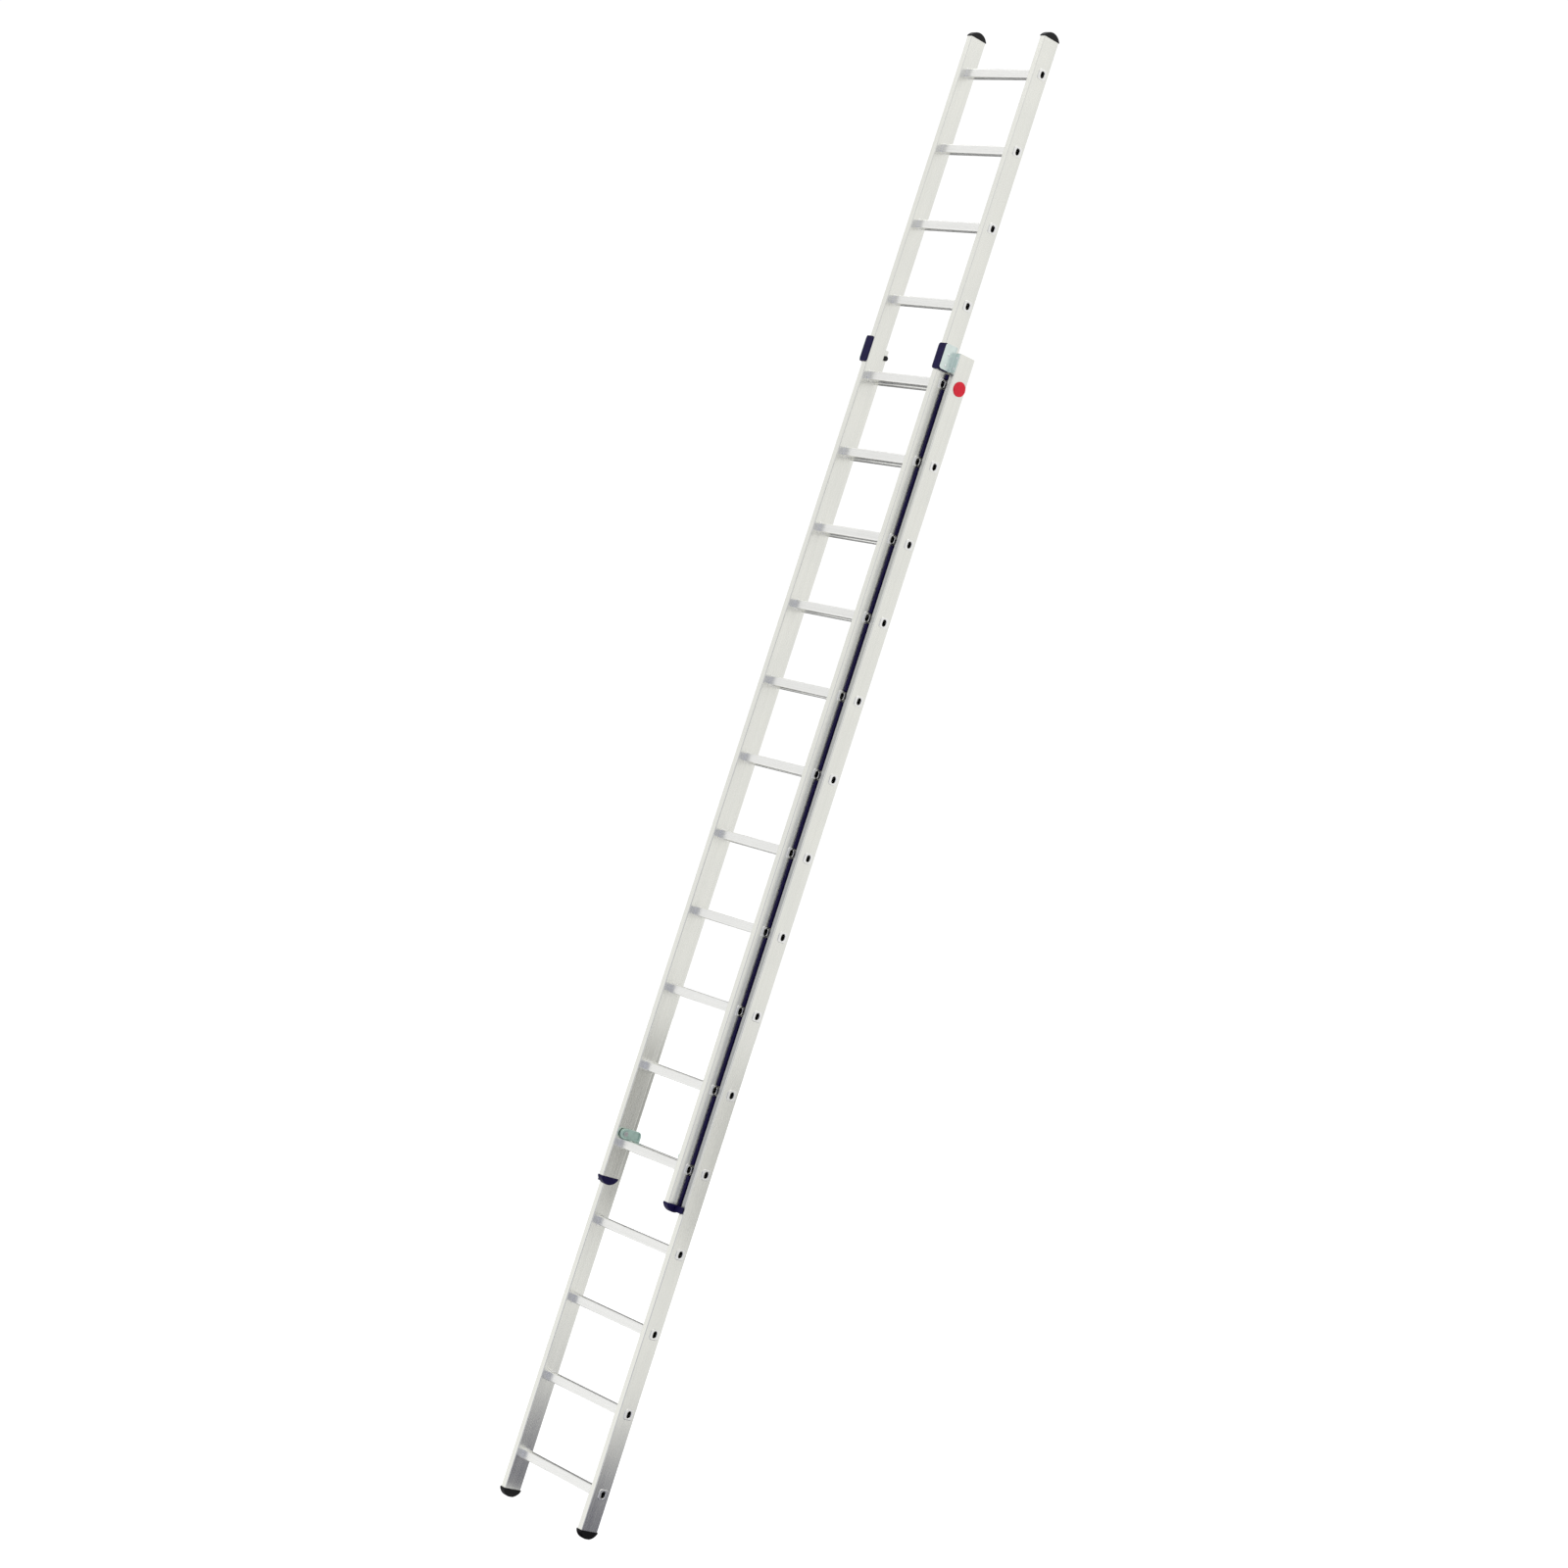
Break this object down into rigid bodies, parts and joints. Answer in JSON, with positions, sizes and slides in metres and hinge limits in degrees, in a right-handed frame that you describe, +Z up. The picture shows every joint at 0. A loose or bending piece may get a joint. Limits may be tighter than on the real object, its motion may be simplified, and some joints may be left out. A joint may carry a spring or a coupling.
{
  "type": "extension ladder",
  "caption": "Two-section aluminium extension ladder: the fly slides in guide brackets in front of the base and is held by swinging rung hooks.",
  "frame": {"origin": "midway between the feet in width and in the ladder's whole depth, on the surface the soles stand on", "axes": "+Z up along the stiles, -Y towards the climber (the fly's side), +X to the right of a person who faces the ladder"},
  "size_m": [0.4858, 0.124, 5.346],
  "materials": {
    "stile_aluminium": "satin extruded",
    "rung_aluminium": "satin ribbed extrusion",
    "bracket_aluminium": "brushed sheet",
    "rivet_aluminium": "bright",
    "cast_aluminium": "cast, lightly textured",
    "pin_steel": "zinc plated",
    "foot_rubber": "moulded",
    "stud_rubber": "moulded",
    "black_plastic": "moulded, fine texture",
    "navy_plastic": "moulded, fine texture",
    "red_plastic": "smooth"
  },
  "bodies": {
    "base": {"base_left_stile": "stile_aluminium", "base_right_stile": "stile_aluminium", "base_rung_01": "rung_aluminium", "base_rung_02": "rung_aluminium", "base_rung_03": "rung_aluminium", "base_rung_04": "rung_aluminium", "base_rung_05": "rung_aluminium", "base_rung_06": "rung_aluminium", "base_rung_07": "rung_aluminium", "base_rung_08": "rung_aluminium", "base_rung_09": "rung_aluminium", "base_rung_10": "rung_aluminium", "base_rung_11": "rung_aluminium", "base_rung_12": "rung_aluminium", "base_rung_13": "rung_aluminium", "base_rung_14": "rung_aluminium", "base_rung_15": "rung_aluminium", "left_foot": "foot_rubber", "left_end_plug": "black_plastic", "left_guide_bracket": "bracket_aluminium", "left_guide_pad": "navy_plastic", "left_bracket_rivets": "rivet_aluminium", "left_stop_stud": "stud_rubber", "right_foot": "foot_rubber", "right_end_plug": "black_plastic", "right_guide_bracket": "bracket_aluminium", "right_guide_pad": "navy_plastic", "right_bracket_rivets": "rivet_aluminium", "right_stop_stud": "stud_rubber", "rung_end_cover": "red_plastic"},
    "fly": {"fly_left_stile": "stile_aluminium", "fly_right_stile": "stile_aluminium", "fly_rung_01": "rung_aluminium", "fly_rung_02": "rung_aluminium", "fly_rung_03": "rung_aluminium", "fly_rung_04": "rung_aluminium", "fly_rung_05": "rung_aluminium", "fly_rung_06": "rung_aluminium", "fly_rung_07": "rung_aluminium", "fly_rung_08": "rung_aluminium", "fly_rung_09": "rung_aluminium", "fly_rung_10": "rung_aluminium", "fly_rung_11": "rung_aluminium", "fly_rung_12": "rung_aluminium", "fly_rung_13": "rung_aluminium", "fly_rung_14": "rung_aluminium", "fly_rung_15": "rung_aluminium", "fly_left_top_cap": "black_plastic", "fly_right_top_cap": "black_plastic", "left_guide_shoe": "navy_plastic", "left_glide_strip": "navy_plastic", "left_hook_pin": "pin_steel", "right_guide_shoe": "navy_plastic", "right_glide_strip": "navy_plastic", "right_hook_pin": "pin_steel"},
    "left_hook": {"left_rung_hook": "cast_aluminium"},
    "right_hook": {"right_rung_hook": "cast_aluminium"}
  },
  "joints": [
    {"name": "fly_slide", "type": "slide", "parent": "base", "child": "fly", "axis": [0, 0, 1], "range_m": [-1.12, 1.68]},
    {"name": "left_hook_pivot", "type": "hinge", "parent": "fly", "child": "left_hook", "pos_m": [-0.167, -0.0265, 1.31], "axis": [1, 0, 0], "range_deg": [0, 80]},
    {"name": "right_hook_pivot", "type": "hinge", "parent": "fly", "child": "right_hook", "pos_m": [0.167, -0.0265, 1.31], "axis": [1, 0, 0], "range_deg": [0, 80]}
  ]
}
